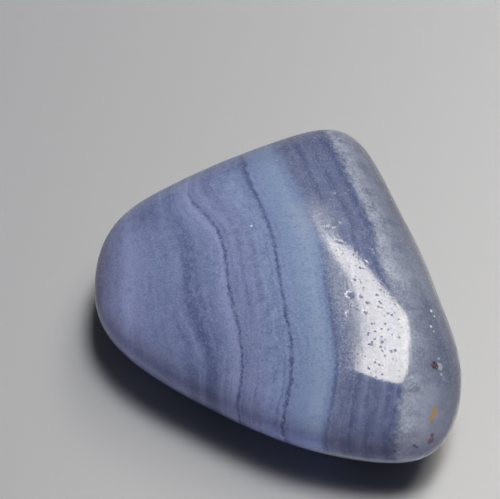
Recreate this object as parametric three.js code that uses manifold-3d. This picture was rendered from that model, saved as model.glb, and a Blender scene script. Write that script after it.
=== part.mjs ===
import * as THREE from 'three';
import { mergeVertices } from 'three/addons/utils/BufferGeometryUtils.js';
import Module from 'manifold-3d';

// Blue chalcedony: one tumbled and polished pebble with a rounded three-cornered plan. It is domed
// above and below its widest line, gently uneven all over, and rests on a small flat spot worn in
// its underside. Millimetres and degrees, +Z up. The origin is the middle of the rest spot.

// Driving dimensions.
const CROWN_HEIGHT = 6.2;
const BELLY_DEPTH = 5.6;
const REST_SPOT_CUT = 0.15;

// The plan is bounded by worn sides. Each faces its azimuth, counted from +X towards +Y, at its
// distance from the upright line through the origin. A higher sharpness gives tighter corners.
const WORN_SIDES = [
  { azimuth: 20, distance: 11.8 },
  { azimuth: 62, distance: 18.7 },
  { azimuth: 117, distance: 14.2 },
  { azimuth: 176, distance: 16.3 },
  { azimuth: 235, distance: 12.1 },
  { azimuth: 261, distance: 14.0 },
  { azimuth: 338, distance: 17.1 },
];
const CORNER_SHARPNESS = 8;

// How full the domes are: 2 is an ellipse in section, and more is flatter on top with a rounder edge.
const DOME_FULLNESS = 2.3;

// Slow waves of the worn surface. Each runs along its direction with its length from crest to crest,
// and lifts or lowers the surface by up to its height.
const SWELLS = [
  { height: 0.07, length: 15, along: new THREE.Vector3(0.8, 0.6, 0.0), phase: 0.6 },
  { height: 0.05, length: 11, along: new THREE.Vector3(-0.4, 0.9, 0.2), phase: 2.1 },
  { height: 0.04, length: 9, along: new THREE.Vector3(0.6, -0.3, 0.7), phase: 4.0 },
];

// Mesh fineness: the sphere that the surface is drawn from has 20 * (SPLITS + 1)^2 triangles, and
// corners nearer to each other than the tolerance are one.
const SPLITS = 17;
const MERGE_TOLERANCE = 1e-5;

// The block below the ground that cuts the rest spot, wider than the pebble.
const GROUND_WIDTH = 60;
const GROUND_DEPTH = 10;

const wasm = await Module();
wasm.setup();

// Below 1 inside the plan outline, 1 on it, above 1 outside.
function planReach(point) {
  let sum = 0;
  for (const side of WORN_SIDES) {
    const azimuth = THREE.MathUtils.degToRad(side.azimuth);
    const outward = point.x * Math.cos(azimuth) + point.y * Math.sin(azimuth);
    sum += Math.max(0, outward / side.distance) ** CORNER_SHARPNESS;
  }
  return sum ** (1 / CORNER_SHARPNESS);
}

// Below 1 inside the whole pebble, 1 on its surface, above 1 outside. Point is from the centre.
function bodyReach(point) {
  const halfHeight = point.z > 0 ? CROWN_HEIGHT : BELLY_DEPTH;
  const sideways = planReach(point) ** DOME_FULLNESS;
  const upwards = Math.abs(point.z / halfHeight) ** DOME_FULLNESS;
  return (sideways + upwards) ** (1 / DOME_FULLNESS);
}

// How far the slow waves move the surface outwards at a point of it.
function swellHeight(point) {
  let height = 0;
  for (const swell of SWELLS) {
    const angle = 2 * Math.PI * point.dot(swell.along) / swell.length + swell.phase;
    height += swell.height * Math.sin(angle);
  }
  return height;
}

// The whole pebble before the rest spot: sphere directions, flattened halfway to the pebble's own
// proportions so that the triangles come out even, and then moved out to the surface.
function pebbleGeometry() {
  const geometry = new THREE.IcosahedronGeometry(1, SPLITS);
  const widestSide = Math.max(...WORN_SIDES.map((side) => side.distance));
  const flatness = Math.sqrt((CROWN_HEIGHT + BELLY_DEPTH) / (2 * widestSide));
  const centreHeight = BELLY_DEPTH - REST_SPOT_CUT;
  const position = geometry.attributes.position;
  const point = new THREE.Vector3();
  for (let i = 0; i < position.count; i++) {
    point.fromBufferAttribute(position, i);
    point.z *= flatness;
    point.divideScalar(bodyReach(point));
    point.setLength(point.length() + swellHeight(point));
    position.setXYZ(i, point.x, point.y, point.z + centreHeight);
  }
  return geometry;
}

// Solid from a closed geometry, with its shared vertices merged.
function solidFrom(geometry) {
  geometry.deleteAttribute('normal');
  geometry.deleteAttribute('uv');
  const merged = mergeVertices(geometry, MERGE_TOLERANCE);
  return new wasm.Manifold(new wasm.Mesh({
    numProp: 3,
    vertProperties: new Float32Array(merged.attributes.position.array),
    triVerts: new Uint32Array(merged.index.array),
  }));
}

function geometryFrom(solid) {
  const mesh = solid.getMesh();
  const geometry = new THREE.BufferGeometry();
  geometry.setAttribute('position', new THREE.BufferAttribute(mesh.vertProperties, 3));
  geometry.setIndex(new THREE.BufferAttribute(mesh.triVerts, 1));
  return geometry;
}

function groundBlock() {
  const block = new THREE.BoxGeometry(GROUND_WIDTH, GROUND_WIDTH, GROUND_DEPTH);
  return block.translate(0, 0, -GROUND_DEPTH / 2);
}

function chalcedonyPebble() {
  const solid = solidFrom(pebbleGeometry()).subtract(solidFrom(groundBlock()));
  const material = new THREE.MeshStandardMaterial({ color: 0x7d8db4, roughness: 0.15, metalness: 0 });
  const pebble = new THREE.Mesh(geometryFrom(solid), material);
  pebble.name = 'chalcedony_pebble';
  return pebble;
}

const chalcedony = new THREE.Group();
chalcedony.add(chalcedonyPebble());

export default chalcedony;
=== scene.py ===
import math

import bmesh
import bpy
import numpy as np
from mathutils import Matrix, Vector


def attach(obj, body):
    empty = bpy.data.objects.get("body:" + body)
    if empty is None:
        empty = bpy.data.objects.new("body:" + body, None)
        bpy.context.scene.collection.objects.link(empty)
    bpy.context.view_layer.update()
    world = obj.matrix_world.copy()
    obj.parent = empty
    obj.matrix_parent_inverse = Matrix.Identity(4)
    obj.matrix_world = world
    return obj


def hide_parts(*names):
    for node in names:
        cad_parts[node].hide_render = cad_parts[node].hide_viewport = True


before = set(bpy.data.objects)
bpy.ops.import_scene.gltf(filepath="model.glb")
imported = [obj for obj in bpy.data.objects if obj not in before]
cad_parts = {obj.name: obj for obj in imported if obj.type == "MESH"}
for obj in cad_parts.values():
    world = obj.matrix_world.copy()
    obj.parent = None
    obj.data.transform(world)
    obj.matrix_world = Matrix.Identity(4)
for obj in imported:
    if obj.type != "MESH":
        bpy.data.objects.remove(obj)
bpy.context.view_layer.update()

# Lengths below are in millimetres and angles in degrees. MM turns them into Blender's metres.
MM = 0.001
NODE = "chalcedony_pebble"

# The pebble's driving dimensions, the same as those of its solid.
CROWN_HEIGHT = 6.2
BELLY_DEPTH = 5.6
REST_SPOT_CUT = 0.15
# The worn sides that bound the plan: the azimuth that each faces, and how far out it is.
WORN_SIDES = [
    (20, 11.8),
    (62, 18.7),
    (117, 14.2),
    (176, 16.3),
    (235, 12.1),
    (261, 14.0),
    (338, 17.1),
]
CORNER_SHARPNESS = 8
DOME_FULLNESS = 2.3
# Height, length, direction and phase of each slow wave of the surface.
SWELLS = [
    (0.07, 15, (0.8, 0.6, 0.0), 0.6),
    (0.05, 11, (-0.4, 0.9, 0.2), 2.1),
    (0.04, 9, (0.6, -0.3, 0.7), 4.0),
]

# The sphere that the surface is drawn from, flattened so that its triangles come out even.
SPHERE_SPLITS = 6
SPHERE_CUTS = 2
SPHERE_FLATNESS = 0.6

# The banding is a stack of bent layers. A point's layer depth is its X, bent by these amounts, so
# that one depth is one layer. Folds are local bends: x, y, radius and shift.
LAYER_TILT = 0.17
LAYER_BOW = 0.013
LAYER_TWIST = -0.0003
LAYER_LEAN = 0.12
LAYER_SKEW = 0.011
LAYER_FOLDS = [
    (-8.0, 7.8, 2.8, 2.1),
    (-8.8, -2.1, 2.1, 0.4),
    (-6.9, -9.0, 2.6, -1.8),
    (1.1, -10.5, 3.7, -1.0),
    (3.4, 2.5, 2.8, -0.55),
    (-9.8, 4.5, 1.8, 0.5),
    (8.2, 0.6, 1.8, 0.6),
]
SURFACE_TOP = CROWN_HEIGHT + BELLY_DEPTH

# Marks in the banding, by layer depth: three crinkled seams, where the clear end starts, and the
# middle of the slate band.
LEFT_SEAM = -5.08
MIDDLE_SEAM = -1.1
RIGHT_SEAM = 2.4
CLEAR_EDGE = 7.6
SLATE_BAND = -8.05

# Open pits that can be seen from a step away: x, y on the crown, and radius.
CROWN_PITS = [
    (5.0, -3.5, 0.26),
    (7.1, -3.3, 0.15),
    (7.3, -3.9, 0.12),
    (6.1, -4.9, 0.13),
    (7.5, -7.6, 0.14),
    (7.4, -8.0, 0.11),
    (8.2, -8.3, 0.13),
    (7.7, -8.8, 0.10),
    (6.6, -7.9, 0.11),
    (3.9, 1.7, 0.13),
    (4.3, 1.7, 0.12),
    (5.8, -0.7, 0.12),
    (-0.4, 7.0, 0.11),
]
# Random pits: how many places are tried, the share of them that is kept in the porous layers and
# elsewhere, and the range of their radii. A pit's depth is a share of its radius.
PIT_SEED = 7
PIT_TRIES = 1200
POROUS_PIT_SHARE = 0.20
OTHER_PIT_SHARE = 0.04
SMALLEST_PIT = 0.12
PIT_RANGE = 0.08
PIT_DEPTH_SHARE = 0.25


def plan_reach(p):
    """Below 1 inside the plan outline, 1 on it, above 1 outside."""
    total = 0
    for azimuth, distance in WORN_SIDES:
        angle = math.radians(azimuth)
        outward = p[:, 0] * math.cos(angle) + p[:, 1] * math.sin(angle)
        total = total + np.maximum(0, outward / distance) ** CORNER_SHARPNESS
    return total ** (1 / CORNER_SHARPNESS)


def body_reach(p):
    """Below 1 inside the pebble, 1 on its surface, above 1 outside. p is from the centre."""
    half_height = np.where(p[:, 2] > 0, CROWN_HEIGHT, BELLY_DEPTH)
    sideways = plan_reach(p) ** DOME_FULLNESS
    upwards = np.abs(p[:, 2] / half_height) ** DOME_FULLNESS
    return (sideways + upwards) ** (1 / DOME_FULLNESS)


def swell_height(p):
    """How far the slow waves move the surface outwards at its points."""
    height = 0
    for amount, length, along, phase in SWELLS:
        height = height + amount * np.sin(2 * math.pi * (p @ np.array(along)) / length + phase)
    return height


def layer_depth(p):
    """Which layer of the banding a point of the pebble is in, as a depth in millimetres."""
    x, y, z = p[:, 0], p[:, 1], p[:, 2]
    depth = x + LAYER_TILT * y + LAYER_BOW * y**2 + LAYER_TWIST * y**3
    depth += LAYER_SKEW * x * y + LAYER_LEAN * (z - SURFACE_TOP)
    for fold_x, fold_y, radius, shift in LAYER_FOLDS:
        away = (x - fold_x) ** 2 + (y - fold_y) ** 2
        depth += shift * np.exp(-away / (2 * radius**2))
    return depth


def sphere_mesh():
    """A fine, even sphere of triangles."""
    bm = bmesh.new()
    bmesh.ops.create_icosphere(bm, subdivisions=SPHERE_SPLITS, radius=1)
    bmesh.ops.subdivide_edges(bm, edges=bm.edges[:], cuts=SPHERE_CUTS, use_grid_fill=True)
    bmesh.ops.triangulate(bm, faces=bm.faces[:])
    mesh = bpy.data.meshes.new(NODE + "_surface")
    bm.to_mesh(mesh)
    bm.free()
    return mesh


def read_points(mesh):
    flat = np.zeros(len(mesh.vertices) * 3)
    mesh.vertices.foreach_get("co", flat)
    return flat.reshape(-1, 3)


def read_normals(mesh):
    flat = np.zeros(len(mesh.vertices) * 3, np.float32)
    mesh.vertex_normals.foreach_get("vector", flat)
    return flat.reshape(-1, 3).astype(float)


def write_points(mesh, points):
    mesh.vertices.foreach_set("co", points.ravel())
    mesh.update()


def pebble_points(directions):
    """The smooth, worn surface, in millimetres, before its pits."""
    p = directions * np.array([1, 1, SPHERE_FLATNESS])
    p = p / body_reach(p)[:, None]
    length = np.linalg.norm(p, axis=1)
    p = p * ((length + swell_height(p)) / length)[:, None]
    return p + np.array([0, 0, BELLY_DEPTH - REST_SPOT_CUT])


def random_pits(points, rng):
    """Small pits all over, most of them in the porous layers past the right seam."""
    picked = points[rng.choice(len(points), PIT_TRIES, replace=False)]
    depth = layer_depth(picked)
    porous = (depth > RIGHT_SEAM) & (depth < CLEAR_EDGE)
    keep = rng.random(len(picked)) < np.where(porous, POROUS_PIT_SHARE, OTHER_PIT_SHARE)
    centres = picked[keep]
    radii = SMALLEST_PIT + PIT_RANGE * rng.random(len(centres)) ** 2
    return centres, radii


def crown_pits(points):
    """The surface's points nearest to the listed pits, and the pits' radii."""
    crown = points[:, 2] > BELLY_DEPTH
    centres = []
    for x, y, _ in CROWN_PITS:
        away = np.where(crown, np.hypot(points[:, 0] - x, points[:, 1] - y), np.inf)
        centres.append(points[away.argmin()])
    return np.array(centres), [radius for _, _, radius in CROWN_PITS]


def carve_pits(points, normals):
    """The points with every pit sunk into them, and how deep each point is sunk."""
    listed_centres, listed_radii = crown_pits(points)
    random_centres, random_radii = random_pits(points, np.random.default_rng(PIT_SEED))
    centres = np.vstack([listed_centres, random_centres])
    radii = np.concatenate([listed_radii, random_radii])
    sink = np.zeros(len(points))
    for centre, radius in zip(centres, radii):
        away = np.linalg.norm(points - centre, axis=1) / radius
        bowl = PIT_DEPTH_SHARE * radius * np.clip(1 - away**2, 0, 1) ** 1.5
        sink = np.maximum(sink, bowl)
    return points - normals * sink[:, None], sink


def make_pebble():
    mesh = sphere_mesh()
    directions = read_points(mesh)
    directions /= np.linalg.norm(directions, axis=1)[:, None]
    points = pebble_points(directions)
    write_points(mesh, points * MM)
    points, sink = carve_pits(points, read_normals(mesh))
    # The rest spot is flat on the ground.
    points[:, 2] = np.maximum(points[:, 2], 0)
    write_points(mesh, points * MM)
    for name, values in (("layer_depth", layer_depth(points)), ("pit_sink", sink)):
        attribute = mesh.attributes.new(name, "FLOAT", "POINT")
        attribute.data.foreach_set("value", values.astype(np.float32))
    mesh.shade_smooth()
    pebble = bpy.data.objects.new(NODE + "_surface", mesh)
    bpy.context.scene.collection.objects.link(pebble)
    return pebble


def linear(red, green, blue):
    """A screen colour, 0 to 255, as the linear colour that Blender's sockets take."""
    def channel(value):
        share = value / 255
        return share / 12.92 if share <= 0.04045 else ((share + 0.055) / 1.055) ** 2.4
    return (channel(red), channel(green), channel(blue), 1)


class Nodes:
    """Short calls for the nodes that the materials use. All but add and feed return a socket."""

    def __init__(self, tree):
        self.tree = tree

    def add(self, kind, inputs=(), **settings):
        """The node itself, with its settings and the values or sockets that feed it."""
        node = self.tree.nodes.new(kind)
        for key, value in settings.items():
            setattr(node, key, value)
        for key, value in dict(inputs).items():
            self.feed(node.inputs[key], value)
        return node

    def feed(self, socket, value):
        if isinstance(value, bpy.types.NodeSocket):
            self.tree.links.new(value, socket)
        else:
            socket.default_value = value

    def math(self, operation, a, b=0.0):
        return self.add("ShaderNodeMath", {0: a, 1: b}, operation=operation).outputs[0]

    def product(self, *factors):
        result = factors[0]
        for factor in factors[1:]:
            result = self.math("MULTIPLY", result, factor)
        return result

    def total(self, *terms):
        result = terms[0]
        for term in terms[1:]:
            result = self.math("ADD", result, term)
        return result

    def noise(self, where, scale, detail=2.0, rough=0.5):
        inputs = {"Vector": where, "Scale": scale, "Detail": detail, "Roughness": rough}
        return self.add("ShaderNodeTexNoise", inputs).outputs["Fac"]

    def swing(self, where, scale, amount, detail=2.0):
        """Noise that swings about 0. It seldom passes half the amount on either side."""
        centred = self.math("SUBTRACT", self.noise(where, scale, detail), 0.5)
        return self.math("MULTIPLY", centred, 2 * amount)

    def step(self, value, low, high, to_low=0.0, to_high=1.0):
        """A smooth step from to_low at low to to_high at high."""
        inputs = {
            "Value": value,
            "From Min": low,
            "From Max": high,
            "To Min": to_low,
            "To Max": to_high,
        }
        node = self.add("ShaderNodeMapRange", inputs, interpolation_type="SMOOTHSTEP")
        return node.outputs["Result"]

    def zone(self, value, start, whole_from, whole_to, end):
        """0 up to the start, 1 while whole, and 0 from the end on."""
        rising = self.step(value, start, whole_from)
        falling = self.step(value, end, whole_to)
        return self.math("MULTIPLY", rising, falling)

    def line(self, value, place, width):
        """1 at a value's place, falling to 0 at the width on either side."""
        away = self.math("ABSOLUTE", self.math("SUBTRACT", value, place))
        return self.step(away, 0.0, width, 1.0, 0.0)

    def distance(self, where, place):
        node = self.add("ShaderNodeVectorMath", {0: where, 1: place}, operation="DISTANCE")
        return node.outputs["Value"]

    def near(self, where, place, whole, reach):
        """1 up to a whole distance from a place, falling to 0 at its reach."""
        return self.step(self.distance(where, place), whole, reach, 1.0, 0.0)

    def blend(self, factor, a, b, blend_type):
        node = self.add("ShaderNodeMix", data_type="RGBA", blend_type=blend_type)
        self.feed(node.inputs[0], factor)
        self.feed(node.inputs[6], a)
        self.feed(node.inputs[7], b)
        return node.outputs[2]

    def over(self, color, other, *shares):
        """A colour with another laid over it, by the product of the shares."""
        return self.blend(self.product(*shares), color, other, "MIX")

    def toned(self, color, tone, *shares):
        """A colour brightened or dulled by a tone, by the product of the shares."""
        whole = self.blend(1.0, color, tone, "MULTIPLY")
        return self.over(color, whole, *shares)

    def mottled(self, color, noise, spread, pale, dark, share):
        """A colour with a pale one where the noise is high and a dark one where it is low."""
        color = self.over(color, pale, self.step(noise, 0.50, 0.50 + spread), share)
        return self.over(color, dark, self.step(noise, 0.50, 0.50 - spread), share)

    def ramp(self, factor, stops):
        node = self.add("ShaderNodeValToRGB", {"Fac": factor})
        elements = node.color_ramp.elements
        elements[0].position, elements[0].color = stops[0]
        elements[1].position, elements[1].color = stops[-1]
        for position, color in stops[1:-1]:
            elements.new(position).color = color
        return node.outputs["Color"]

    def combine(self, x, y, z):
        return self.add("ShaderNodeCombineXYZ", {0: x, 1: y, 2: z}).outputs[0]

    def pores(self, where, scale, share, radius):
        """1 in small round pores: one in a share of the cells, up to the radius in size."""
        cells = self.add("ShaderNodeTexVoronoi", {"Vector": where, "Scale": scale})
        chance = self.add("ShaderNodeSeparateColor", {0: cells.outputs["Color"]}).outputs[0]
        widest = radius * scale
        size = self.step(chance, 1 - share, 1.0, 0.0, widest)
        inside = self.math("SUBTRACT", size, cells.outputs["Distance"])
        return self.step(inside, 0.0, 0.35 * widest)


# The stone's own colours, and last the colour of a painted bright line along its foot.
DUSK_ROSE = linear(108, 106, 136)
PALE_LAVENDER = linear(130, 137, 170)
LAVENDER = linear(115, 123, 156)
GREY_BLUE = linear(107, 118, 151)
SLATE = linear(81, 91, 126)
SLATE_BLUE = linear(99, 109, 142)
DARK_SLATE = linear(80, 90, 126)
MIST_BLUE = linear(119, 132, 164)
SKY_BLUE = linear(119, 135, 163)
PALE_SKY = linear(131, 147, 171)
DUSK = linear(101, 107, 132)
DEEP_DUSK = linear(78, 86, 114)
SMOKE = linear(119, 124, 138)
PALE_SMOKE = linear(150, 155, 166)
DARK_SMOKE = linear(80, 84, 100)
SEAM_SHADE = linear(62, 75, 112)
RUST = linear(62, 36, 28)
OCHRE = linear(140, 118, 78)
ROSE = linear(98, 80, 92)
FROST = linear(205, 208, 214)
# Painted light: a bright line along the foot, where light that came through the stone would gather.
PAINTED_RIM_LIGHT = linear(240, 243, 248)

# What the stone's colour is multiplied by, in red, green and blue: painted light low on the side
# where light that has come through it would leave it, again along its foot, and painted shade at
# its far rim.
PAINTED_GLOW_TONE = (1.87, 1.77, 1.82, 1)
PAINTED_FOOT_GLOW_TONE = (1.50, 1.45, 1.55, 1)
PAINTED_SHADE_TONE = (0.62, 0.60, 0.67, 1)

# The broad bands, by layer depth, from the left end of the stone to its right.
BANDS = [
    (-16.5, DUSK_ROSE),
    (-14.2, LAVENDER),
    (-13.2, PALE_LAVENDER),
    (-12.0, LAVENDER),
    (-10.6, GREY_BLUE),
    (-8.75, GREY_BLUE),
    (-8.35, SLATE),
    (-7.7, SLATE),
    (-7.1, SLATE_BLUE),
    (-6.4, GREY_BLUE),
    (-6.0, LAVENDER),
    (-5.5, PALE_LAVENDER),
    (-5.0, LAVENDER),
    (-3.2, LAVENDER),
    (-2.4, MIST_BLUE),
    (-0.9, MIST_BLUE),
    (0.2, SKY_BLUE),
    (1.4, PALE_SKY),
    (2.0, SKY_BLUE),
    (2.8, DUSK),
    (3.5, DUSK),
    (4.1, DEEP_DUSK),
    (4.8, DUSK),
    (5.6, DEEP_DUSK),
    (6.3, DUSK),
    (7.0, DEEP_DUSK),
    (7.6, DEEP_DUSK),
]

# The crinkled seams: layer depth, half width, strength, and the Y about which they fade out.
SEAMS = [
    (LEFT_SEAM, 0.24, 0.95, 7.0),
    (LEFT_SEAM + 0.42, 0.12, 0.35, 7.0),
    (MIDDLE_SEAM, 0.26, 1.0, 12.0),
    (MIDDLE_SEAM - 0.55, 0.12, 0.30, 9.0),
    (RIGHT_SEAM, 0.30, 0.65, -1.0),
]
SEAM_FADE = 2.0

# Small coloured inclusions near the right edge, and one speck at the left: x, y, z, radius, colour.
INCLUSIONS = [
    (12.10, -8.75, 9.1, 0.36, PALE_SMOKE),
    (12.25, -9.40, 8.9, 0.16, PALE_SMOKE),
    (12.05, -8.05, 9.1, 0.13, PALE_SMOKE),
    (11.74, -8.83, 9.3, 0.38, RUST),
    (11.50, -12.75, 8.2, 0.50, SMOKE),
    (11.60, -12.55, 8.2, 0.33, OCHRE),
    (11.62, -12.15, 8.3, 0.20, OCHRE),
    (11.40, -13.05, 8.1, 0.27, OCHRE),
    (11.34, -14.26, 6.7, 0.34, ROSE),
    (11.40, -13.95, 7.1, 0.22, ROSE),
    (10.00, -14.75, 6.8, 0.17, DARK_SMOKE),
    (10.20, -14.82, 6.6, 0.16, DARK_SMOKE),
    (11.58, -3.52, 9.1, 0.14, FROST),
    (11.85, -3.96, 9.0, 0.09, FROST),
    (11.50, -5.22, 9.4, 0.13, FROST),
    (11.72, -5.62, 9.3, 0.09, FROST),
    (-3.03, 3.24, 11.4, 0.11, FROST),
]

# Pale patches of painted sheen on either side of the right seam, beside the window's reflection,
# and a milky cloud in the clear end.
PAINTED_SHEEN_PLACE = (3.9, -1.6, 11.2)
PAINTED_TIP_SHEEN_PLACE = (2.1, 4.0, 11.6)
HAZY_PLACE = (9.1, 0.3, 10.1)

# The ways, in plan, towards the side that light leaves and towards the far side.
NEAR_WAY = (-0.35, -0.94)
FAR_WAY = (0.45, 0.89)

# How the stone takes light: its refraction, how far red, green and blue light go in it, the
# roughness of its polish and of its pits, and the strength and depth of the faint relief.
REFRACTION = 1.54
LIGHT_REACH = 4.0
LIGHT_REACH_BY_COLOR = (1.0, 1.15, 1.5)
SMOOTHEST = 0.04
LEAST_SMOOTH = 0.09
ROUGHEST = 0.9
RELIEF_STRENGTH = 0.20
RELIEF_DEPTH = 0.05


class Stone:
    """The places in the stone and in its layers that the parts of its material share."""

    def __init__(self, n):
        self.n = n
        place = n.add("ShaderNodeTexCoord").outputs["Object"]
        scaled = n.add("ShaderNodeVectorMath", {0: place, "Scale": 1 / MM}, operation="SCALE")
        self.where = scaled.outputs["Vector"]
        split = n.add("ShaderNodeSeparateXYZ", {0: self.where})
        self.x = split.outputs["X"]
        self.y = split.outputs["Y"]
        self.z = split.outputs["Z"]
        self.depth = n.add("ShaderNodeAttribute", attribute_name="layer_depth").outputs["Fac"]
        self.sink = n.add("ShaderNodeAttribute", attribute_name="pit_sink").outputs["Fac"]
        # The layers sway in slow waves, and the seams are crinkled as well.
        slow = n.swing(self.where, 0.35, 0.30)
        brisk = n.swing(self.where, 1.1, 0.14)
        self.sway = n.total(self.depth, slow, brisk)
        coarse = n.swing(self.where, 1.3, 0.20, 3.0)
        fine = n.swing(self.where, 4.5, 0.26, 4.0)
        self.crinkled = n.total(self.depth, coarse, fine)
        self.fine_lines = n.noise(self.drawn_out(self.crinkled, 0.05), 4.5, 2.0, 0.6)
        self.slate = n.line(self.sway, SLATE_BAND, 1.0)
        self.broken = n.step(n.noise(self.where, 1.8, 3.0), 0.32, 0.58, 0.35, 1.0)

    def drawn_out(self, across, along):
        """A place whose first way runs across the layers, and whose others are along them."""
        y = self.n.math("MULTIPLY", self.y, along)
        z = self.n.math("MULTIPLY", self.z, along)
        return self.n.combine(across, y, z)

    def towards(self, way):
        """How far a place is from the middle of the stone, along a way in plan."""
        return self.n.total(self.n.product(self.x, way[0]), self.n.product(self.y, way[1]))


def broad_bands(n, stone):
    first, last = BANDS[0][0], BANDS[-1][0]
    share = n.math("DIVIDE", n.math("SUBTRACT", stone.sway, first), last - first)
    color = n.ramp(share, [((place - first) / (last - first), band) for place, band in BANDS])
    return n.over(color, GREY_BLUE, stone.slate, n.step(stone.y, 0.0, 4.5, 0.0, 0.6))


def layer_lines(n, stone, color):
    """Fine lines and flakes along the layers. The lines are weak in the pale and slate bands."""
    stripes = n.noise(stone.drawn_out(stone.crinkled, 0.04), 1.7, 2.0, 0.6)
    flakes = n.noise(stone.drawn_out(stone.crinkled, 0.35), 2.4, 3.0, 0.65)
    pale_band = n.zone(stone.depth, -1.0, 0.0, 1.4, 2.4)
    strength = n.product(
        n.step(stone.depth, -12.5, -9.5, 0.35, 1.0),
        n.step(stone.slate, 0.2, 0.8, 1.0, 0.3),
        n.step(pale_band, 0.0, 1.0, 0.34, 0.07),
        n.step(stone.y, 0.0, -7.0, 1.0, 1.4),
    )
    fine_strength = n.product(strength, n.step(stone.depth, 2.2, 3.0, 1.0, 0.45))
    flake_strength = n.step(pale_band, 0.0, 1.0, 0.30, 0.08)
    for noise, share in (
        (stone.fine_lines, fine_strength),
        (stripes, strength),
        (flakes, flake_strength),
    ):
        color = n.mottled(color, noise, 0.22, PALE_LAVENDER, DARK_SLATE, share)
    return color


def blots(n, stone, color):
    """The layers just before the middle seam are blotched."""
    noise = n.noise(stone.drawn_out(stone.crinkled, 0.7), 1.5, 4.0, 0.7)
    share = n.product(n.zone(stone.depth, -3.6, -2.6, -1.6, -1.0), 0.45)
    return n.mottled(color, noise, 0.16, PALE_SKY, SLATE, share)


def seams(n, stone, color):
    """The crinkled seams, broken into darker and fainter stretches."""
    for place, width, strength, end in SEAMS:
        line = n.line(stone.crinkled, place, width)
        reached = n.step(stone.y, end + SEAM_FADE, end - SEAM_FADE, 0.0, strength)
        color = n.over(color, SEAM_SHADE, line, stone.broken, reached)
    return color


def seam_sides(n, stone, color):
    """What lies beside the seams: darker and paler layers, and a row of pale specks."""
    past_right = n.zone(stone.depth, 0.6, 2.0, 3.0, 4.4)
    color = n.over(color, DEEP_DUSK, n.step(stone.y, 4.0, 8.0), past_right, 0.25)
    before_left = n.line(stone.crinkled, LEFT_SEAM - 0.32, 0.25)
    color = n.over(color, PALE_LAVENDER, before_left, 0.28)
    slate_edge = n.line(stone.crinkled, SLATE_BAND - 0.95, 0.16)
    near_half = n.step(stone.y, 3.0, 0.0)
    color = n.over(color, PALE_LAVENDER, slate_edge, stone.broken, near_half, 0.5)
    # The middle seam widens towards the back.
    widened = n.line(stone.crinkled, MIDDLE_SEAM - 0.1, 0.50)
    color = n.over(color, SLATE, widened, n.step(stone.y, 1.0, 6.0), 0.65)
    specks = n.pores(stone.where, 2.6, 0.6, 0.13)
    return n.over(color, PALE_SMOKE, specks, n.line(stone.depth, MIDDLE_SEAM - 0.1, 0.40), 0.6)


# Painted sheen: two pale patches by the right seam that stand in for the soft edge of the window's
# reflection.
def painted_sheen_patches(n, stone, color):
    beside = n.zone(stone.depth, 2.4, 3.2, 3.4, 4.8)
    color = n.over(color, PALE_SMOKE, n.near(stone.where, PAINTED_SHEEN_PLACE, 2.5, 7.5), beside, 0.50)
    return n.over(color, PALE_SMOKE, n.near(stone.where, PAINTED_TIP_SHEEN_PLACE, 0.5, 3.2), 0.36)


def clear_end(n, stone, color):
    """The smoky clear end, with milky clouds, and frosty tufts that grow into it from its edge."""
    past_edge = n.math("SUBTRACT", stone.depth, CLEAR_EDGE)
    ragged = n.total(past_edge, n.swing(stone.where, 1.8, 0.6, 4.0))
    clear = n.step(ragged, -0.35, 0.55)
    middle = n.zone(stone.y, -11.0, -9.0, -3.0, -1.0)
    hazy = n.product(
        n.step(past_edge, 4.0, 0.6),
        n.step(past_edge, 0.0, 0.8, 0.7, 1.0),
        n.step(stone.y, -7.5, -10.5, 1.0, 0.55),
        n.step(middle, 0.0, 1.0, 1.0, 0.45),
    )
    murk = n.step(n.noise(stone.where, 0.45, 3.0, 0.6), 0.48, 0.66, 0.0, 0.5)
    far_off = n.step(past_edge, 0.8, 4.2, 0.0, 0.62)
    smoke = n.over(SMOKE, DARK_SMOKE, n.math("MAXIMUM", murk, far_off))
    smoke = n.over(smoke, DARK_SMOKE, middle, n.step(past_edge, 0.8, 2.4), 0.5)
    smoke = n.over(smoke, PALE_SMOKE, n.near(stone.where, HAZY_PLACE, 0.8, 3.0), 0.40)
    clouds = n.step(n.noise(stone.where, 0.8, 4.0, 0.6), 0.34, 0.62)
    smoke = n.over(smoke, PALE_SMOKE, clouds, hazy)
    color = n.over(color, smoke, clear)
    tuft_zone = n.product(clear, hazy, n.step(past_edge, 2.6, 0.4))
    fibres = n.noise(stone.drawn_out(n.product(stone.depth, 0.6), 1.0), 2.0, 4.0, 0.7)
    color = n.over(color, FROST, n.step(fibres, 0.50, 0.72), tuft_zone, 0.35)
    curls = n.math("ABSOLUTE", n.swing(stone.where, 2.4, 0.5, 3.0))
    return n.over(color, FROST, n.step(curls, 0.045, 0.01), tuft_zone, 0.45)


def inclusions(n, stone, color):
    """Small ragged grains of other colours."""
    for x, y, z, radius, grain_color in INCLUSIONS:
        ragged = n.swing(stone.where, 5.0, 0.5 * radius, 3.0)
        away = n.total(n.distance(stone.where, (x, y, z)), ragged)
        color = n.over(color, grain_color, n.step(away, 0.65 * radius, 1.15 * radius, 1.0, 0.0))
    return color


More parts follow.
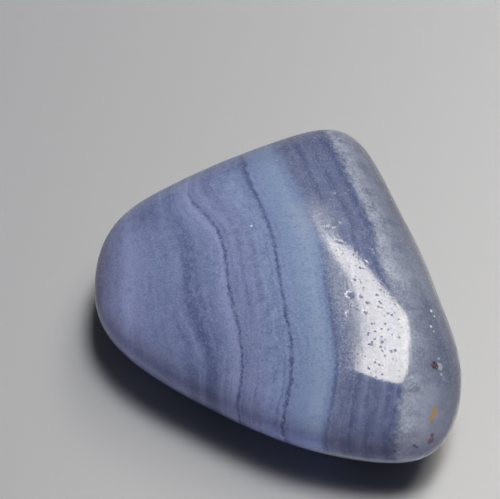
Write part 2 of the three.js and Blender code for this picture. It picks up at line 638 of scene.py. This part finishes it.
def glow_and_shade(n, stone, color):
    """Painted light low on one side, where light that has come through the stone would leave it,
    and a painted bright line along the foot. Painted shade on the far rim, the left rim and the
    back-left shoulder.
    """
    # Painted light: the near side, low down, is brightened as if light that came through the stone
    # left it there.
    near_side = n.step(stone.towards(NEAR_WAY), 4.5, 8.0)
    low = n.step(stone.z, 10.5, 6.0)
    color = n.toned(color, PAINTED_GLOW_TONE, near_side, low, n.step(stone.x, 2.0, 9.0, 1.0, 0.6))
    lowest = n.product(n.step(stone.z, 7.5, 5.0), 0.8)
    color = n.toned(color, PAINTED_FOOT_GLOW_TONE, near_side, lowest, n.step(stone.x, -7.0, 2.0, 0.4, 1.0))
    # Painted light: a thin bright line along the foot on the near side.
    painted_rim_light = n.zone(stone.z, 3.6, 4.2, 4.5, 5.2)
    painted_rim_light_ends = n.product(n.step(stone.x, 0.0, 4.0), n.step(stone.x, 12.0, 9.0, 0.2, 0.85))
    color = n.over(color, PAINTED_RIM_LIGHT, painted_rim_light, near_side, painted_rim_light_ends)

    # Painted shade: the far rim, the left rim and the back-left shoulder are darkened.
    far_rim = n.product(
        n.step(stone.towards(FAR_WAY), 2.0, 6.0),
        n.step(stone.z, 11.2, 8.0),
        n.step(stone.x, 11.5, 9.0),
    )
    left_rim = n.product(
        n.step(stone.x, -10.0, -14.0),
        n.step(stone.y, -3.0, 0.0),
        n.step(stone.z, 8.8, 7.0),
    )
    shoulder = n.product(n.step(stone.y, 2.5, 6.5), n.step(stone.depth, -8.2, -9.6), 0.75)
    painted_shade = n.math("MAXIMUM", n.math("MAXIMUM", far_rim, left_rim), shoulder)
    return n.toned(color, PAINTED_SHADE_TONE, painted_shade)


def grain_and_pores(n, stone, color):
    """Fine mottling, and pores that lie closest in the layers past the right seam."""
    porous = n.zone(stone.depth, 1.9, 3.0, 7.0, 8.4)
    speckled = n.product(n.zone(stone.depth, 2.1, 2.6, 3.6, 4.4), n.step(stone.y, 4.0, 1.0), 0.30)
    grainy = n.product(
        n.total(n.step(porous, 0.0, 1.0, 0.40, 0.50), speckled),
        n.step(stone.y, 2.0, 5.0, 1.0, 0.75),
        n.step(stone.y, -9.5, -11.5, 1.0, 0.45),
    )
    grain = n.noise(stone.where, 5.5, 4.0, 0.75)
    color = n.mottled(color, grain, 0.16, PALE_SMOKE, DARK_SLATE, grainy)
    patches = n.noise(stone.where, 1.8, 4.0, 0.7)
    color = n.mottled(color, patches, 0.18, PALE_LAVENDER, SLATE, 0.22)

    porous = n.product(porous, n.step(stone.y, -9.5, -12.0, 1.0, 0.25))
    few = n.pores(stone.where, 1.6, 0.30, 0.10)
    many = n.product(n.pores(stone.where, 3.6, 0.80, 0.10), porous)
    pore = n.math("MAXIMUM", few, many)
    color = n.over(color, DARK_SLATE, pore, 0.45)
    # The dust is in cells of its own, because its place has its axes exchanged.
    turned = n.combine(stone.z, stone.x, stone.y)
    fine_dust = n.pores(turned, 2.4, 0.15, 0.07)
    thick_dust = n.product(n.pores(turned, 3.4, 0.3, 0.09), porous)
    color = n.over(color, PALE_SMOKE, n.math("MAXIMUM", fine_dust, thick_dust), 0.4)
    return color, grain, pore


def roughness(n, stone, pore):
    """The polish varies a little from place to place, and is dull in the pits and pores."""
    polish = n.step(n.noise(stone.where, 2.5, 4.0), 0.3, 0.7, SMOOTHEST, LEAST_SMOOTH)
    rough = n.total(polish, n.product(stone.sink, 25.0), n.product(pore, 0.8))
    return n.math("MINIMUM", rough, ROUGHEST)


def fine_relief(n, stone, grain, pore):
    """The faint grain, lines and pores in the polish, as a normal."""
    raised = n.total(n.product(grain, 0.10), n.product(stone.fine_lines, 0.45))
    height = n.math("SUBTRACT", raised, pore)
    inputs = {"Height": height, "Strength": RELIEF_STRENGTH, "Distance": RELIEF_DEPTH * MM}
    return n.add("ShaderNodeBump", inputs).outputs["Normal"]


def empty_material(name):
    """A new material without nodes, and the short calls that fill it."""
    material = bpy.data.materials.new(name)
    material.use_nodes = True
    material.node_tree.nodes.clear()
    return material, Nodes(material.node_tree)


def chalcedony_material():
    material, n = empty_material("blue_chalcedony")
    stone = Stone(n)
    color = broad_bands(n, stone)
    for detail in (
        layer_lines,
        blots,
        seams,
        seam_sides,
        painted_sheen_patches,
        clear_end,
        inclusions,
        glow_and_shade,
    ):
        color = detail(n, stone, color)
    color, grain, pore = grain_and_pores(n, stone, color)
    shader = n.add("ShaderNodeBsdfPrincipled", {
        "Base Color": color,
        "Roughness": roughness(n, stone, pore),
        "IOR": REFRACTION,
        "Subsurface Weight": 1.0,
        "Subsurface Radius": LIGHT_REACH_BY_COLOR,
        "Subsurface Scale": LIGHT_REACH * MM,
        "Normal": fine_relief(n, stone, grain, pore),
    })
    n.add("ShaderNodeOutputMaterial", {"Surface": shader.outputs[0]})
    return material


# The stage: a plain pale floor, a soft light overhead, and a window-like panel, further to the
# back and right, which the polish reflects.
FLOOR_WIDTH = 3000
FLOOR_GREY = linear(150, 151, 155)
FLOOR_METALLIC = 0.35
FLOOR_ROUGHNESS = 0.5
ROOM_COLOR = (0.85, 0.9, 1.0, 1)
ROOM_GLOW = 0.08
# The light's place and size are for each unit of its height.
KEY_HEIGHT = 400
KEY_PLACE = (0.15, 0.13)
KEY_WIDTH = 0.24
KEY_LENGTH = 0.26
KEY_POWER = 2.2
# The panel's sides, as how far right and back they are for each unit of height: left and right from
# near to far, and near and far from left to right. The left side is soft, over a width that narrows
# towards its ends.
PANEL_HEIGHT = 500
PANEL_LEFT_SIDE = [
    (-0.03, -0.09),
    (0.06, 0.13),
    (0.21, 0.34),
    (0.31, 0.50),
    (0.35, 0.66),
    (0.29, 0.83),
    (0.20, 0.93),
]
PANEL_RIGHT_SIDE = [
    (0.47, -0.03),
    (0.64, 0.22),
    (0.75, 0.52),
    (0.94, 0.88),
    (1.04, 1.065),
]
PANEL_NEAR_SIDE = [
    (-0.03, -0.09),
    (0.14, -0.115),
    (0.30, -0.085),
    (0.47, -0.03),
]
PANEL_FAR_SIDE = [
    (0.20, 0.93),
    (0.33, 0.955),
    (0.42, 1.00),
    (0.50, 1.03),
    (0.60, 1.01),
    (0.74, 0.94),
    (0.93, 1.015),
    (1.04, 1.065),
]
PANEL_STEPS = 48
PANEL_END_FADE = 0.07
PANEL_MIDDLE_FADE = 0.15
PANEL_COLOR = (1.0, 0.95, 0.84, 1)
PANEL_GLOW = 12.8
PANEL_FAR_DIMMING = 0.25


def make_floor():
    half = FLOOR_WIDTH / 2 * MM
    mesh = bpy.data.meshes.new("floor")
    corners = [(-half, -half, 0), (half, -half, 0), (half, half, 0), (-half, half, 0)]
    mesh.from_pydata(corners, [], [(0, 1, 2, 3)])
    floor = bpy.data.objects.new("floor", mesh)
    bpy.context.scene.collection.objects.link(floor)
    material = bpy.data.materials.new("floor_grey")
    material.use_nodes = True
    shader = material.node_tree.nodes["Principled BSDF"]
    shader.inputs["Base Color"].default_value = FLOOR_GREY
    shader.inputs["Metallic"].default_value = FLOOR_METALLIC
    shader.inputs["Roughness"].default_value = FLOOR_ROUGHNESS
    mesh.materials.append(material)


def make_key_light():
    """A soft light overhead. It lights the stone but does not show in its polish."""
    data = bpy.data.lights.new("key_light", "AREA")
    data.shape = "RECTANGLE"
    data.size = KEY_WIDTH * KEY_HEIGHT * MM
    data.size_y = KEY_LENGTH * KEY_HEIGHT * MM
    data.energy = KEY_POWER
    key = bpy.data.objects.new("key_light", data)
    key.location = Vector((*KEY_PLACE, 1)) * KEY_HEIGHT * MM
    key.visible_glossy = False
    bpy.context.scene.collection.objects.link(key)


def along_line(line, share):
    """The place at a share of the length of a bent line."""
    line = np.array(line)
    steps = np.linalg.norm(np.diff(line, axis=0), axis=1)
    reach = np.concatenate([[0], np.cumsum(steps)])
    return np.array([np.interp(share * reach[-1], reach, line[:, axis]) for axis in (0, 1)])


def panel_place(across, back):
    """A place on the panel, blended from its four sides, and how brightly it glows."""
    near_left, near_right = np.array(PANEL_LEFT_SIDE[0]), np.array(PANEL_RIGHT_SIDE[0])
    far_left, far_right = np.array(PANEL_FAR_SIDE[0]), np.array(PANEL_FAR_SIDE[-1])
    left = along_line(PANEL_LEFT_SIDE, back)
    right = along_line(PANEL_RIGHT_SIDE, back)
    near = along_line(PANEL_NEAR_SIDE, across)
    far = along_line(PANEL_FAR_SIDE, across)
    between_sides = left + (right - left) * across
    between_ends = near + (far - near) * back
    left_ends = near_left + (far_left - near_left) * back
    right_ends = near_right + (far_right - near_right) * back
    between_corners = left_ends + (right_ends - left_ends) * across
    place = between_sides + between_ends - between_corners
    fade = PANEL_END_FADE + (PANEL_MIDDLE_FADE - PANEL_END_FADE) * 4 * back * (1 - back)
    place[0] -= fade / 2 * (1 - across)
    share = min(1, (place[0] - left[0] + fade / 2) / fade)
    return place, share * share * (3 - 2 * share) * (1 - PANEL_FAR_DIMMING * back**4)


def make_panel():
    """A glowing four-sided panel that faces down and shows in the polish alone."""
    points, faces, glow = [], [], []
    for i in range(PANEL_STEPS + 1):
        for j in range(PANEL_STEPS + 1):
            # The steps are closest at the soft left side.
            place, brightness = panel_place((i / PANEL_STEPS) ** 2, j / PANEL_STEPS)
            points.append([*(place * PANEL_HEIGHT * MM), PANEL_HEIGHT * MM])
            glow.append(brightness)
            if i < PANEL_STEPS and j < PANEL_STEPS:
                first = i * (PANEL_STEPS + 1) + j
                beside = first + PANEL_STEPS + 1
                faces.append((first, first + 1, beside + 1, beside))
    mesh = bpy.data.meshes.new("window_panel")
    mesh.from_pydata(points, [], faces)
    attribute = mesh.attributes.new("glow", "FLOAT", "POINT")
    attribute.data.foreach_set("value", glow)
    panel = bpy.data.objects.new("window_panel", mesh)
    panel.visible_diffuse = False
    panel.visible_shadow = False
    bpy.context.scene.collection.objects.link(panel)
    material, n = empty_material("window_glow")
    share = n.add("ShaderNodeAttribute", attribute_name="glow").outputs["Fac"]
    strength = n.product(share, PANEL_GLOW)
    emission = n.add("ShaderNodeEmission", {"Color": PANEL_COLOR, "Strength": strength})
    n.add("ShaderNodeOutputMaterial", {"Surface": emission.outputs[0]})
    mesh.materials.append(material)


def make_world():
    world = bpy.data.worlds.new("room")
    bpy.context.scene.world = world
    world.use_nodes = True
    background = world.node_tree.nodes["Background"]
    background.inputs["Color"].default_value = ROOM_COLOR
    background.inputs["Strength"].default_value = ROOM_GLOW


# The camera stands in front of the stone, high up, and looks at the middle of the photo's frame.
CAMERA_ELEVATION = 58
CAMERA_DISTANCE = 220
CAMERA_AIM = (-3.27, 6.03, 3.8)
NEAREST_SEEN = 10
FARTHEST_SEEN = 10000
SENSOR_WIDTH = 36
# The photo's frame: the real size of a pixel of it, and its width in pixels.
PIXEL_SIZE = 0.085
FRAME_WIDTH = 500


def make_camera():
    data = bpy.data.cameras.new("camera")
    data.sensor_width = SENSOR_WIDTH
    data.lens = SENSOR_WIDTH * CAMERA_DISTANCE / (PIXEL_SIZE * FRAME_WIDTH)
    data.clip_start = NEAREST_SEEN * MM
    data.clip_end = FARTHEST_SEEN * MM
    camera = bpy.data.objects.new("camera", data)
    elevation = math.radians(CAMERA_ELEVATION)
    back = Vector((0, -math.cos(elevation), math.sin(elevation)))
    camera.location = back * CAMERA_DISTANCE * MM
    towards = (Vector(CAMERA_AIM) * MM - camera.location).normalized()
    right = (Vector((1, 0, 0)) - towards * towards.x).normalized()
    up = right.cross(towards)
    camera.rotation_euler = Matrix((right, up, -towards)).transposed().to_euler()
    bpy.context.scene.collection.objects.link(camera)
    bpy.context.scene.camera = camera


bpy.context.scene.view_settings.view_transform = "Standard"
make_camera()
make_world()
make_floor()
make_key_light()
make_panel()
pebble = make_pebble()
pebble.data.materials.append(chalcedony_material())
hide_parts(NODE)
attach(pebble, "root")
